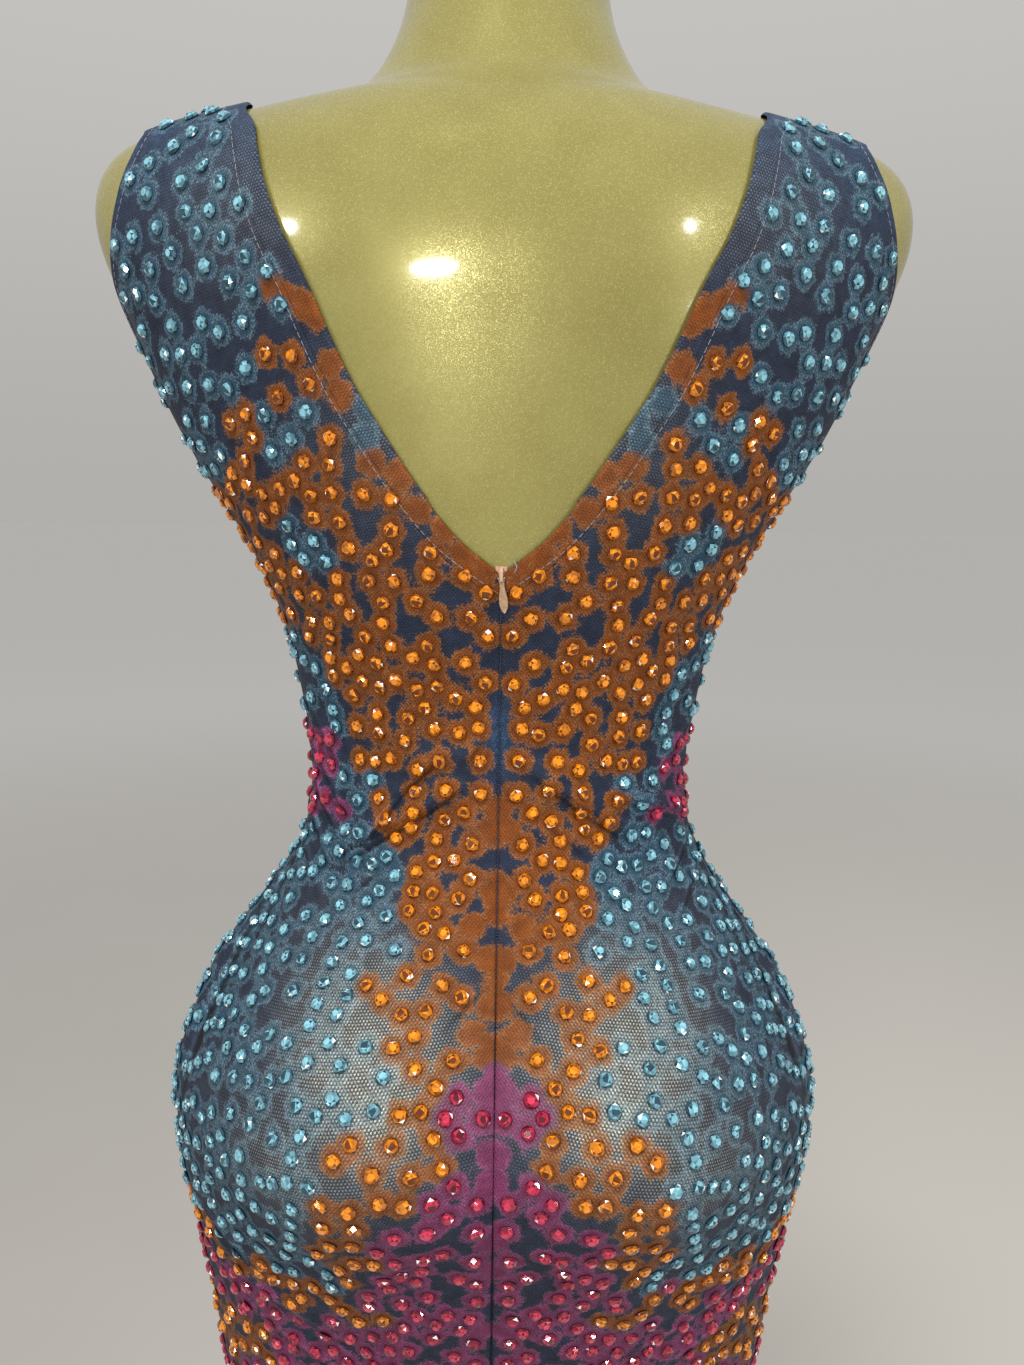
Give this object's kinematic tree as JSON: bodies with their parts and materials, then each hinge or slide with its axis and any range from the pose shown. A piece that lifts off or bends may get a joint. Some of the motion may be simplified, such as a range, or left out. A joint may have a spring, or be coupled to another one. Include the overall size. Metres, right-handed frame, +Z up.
{
  "type": "mesh dress on a torso display form",
  "caption": "Sleeveless printed mesh dress with a deep V back and concealed back zip, worn by a limbless torso form on a pole and round base.",
  "frame": {"origin": "on the floor under the centre of the round base", "axes": "+Z up the pole, +Y towards the back of the dress, +X towards its left side as it is worn from behind in the picture"},
  "size_m": [0.388, 0.38, 1.464],
  "materials": {
    "cloth": "printed stretch mesh with flat-backed stones",
    "zip_tape": "woven tape",
    "zip_metal": "beige lacquer",
    "pull": "beige gloss lacquer",
    "form": "gold metallic flake lacquer",
    "steel": "satin"
  },
  "bodies": {
    "dress_and_form": {"front_panel": "cloth", "back_left": "cloth", "back_right": "cloth", "zip_tape_left": "zip_tape", "zip_tape_right": "zip_tape", "zip_slider": "zip_metal", "torso_form": "form", "stand_flange": "steel", "stand_pole": "steel", "stand_collar": "steel", "stand_base": "steel"},
    "pull": {"zip_pull": "pull"}
  },
  "joints": [
    {"name": "pull_swing", "type": "hinge", "parent": "dress_and_form", "child": "pull", "pos_m": [0, 0.08547, 1.1351], "axis": [1, 0, 0], "range_deg": [0, 100]}
  ]
}
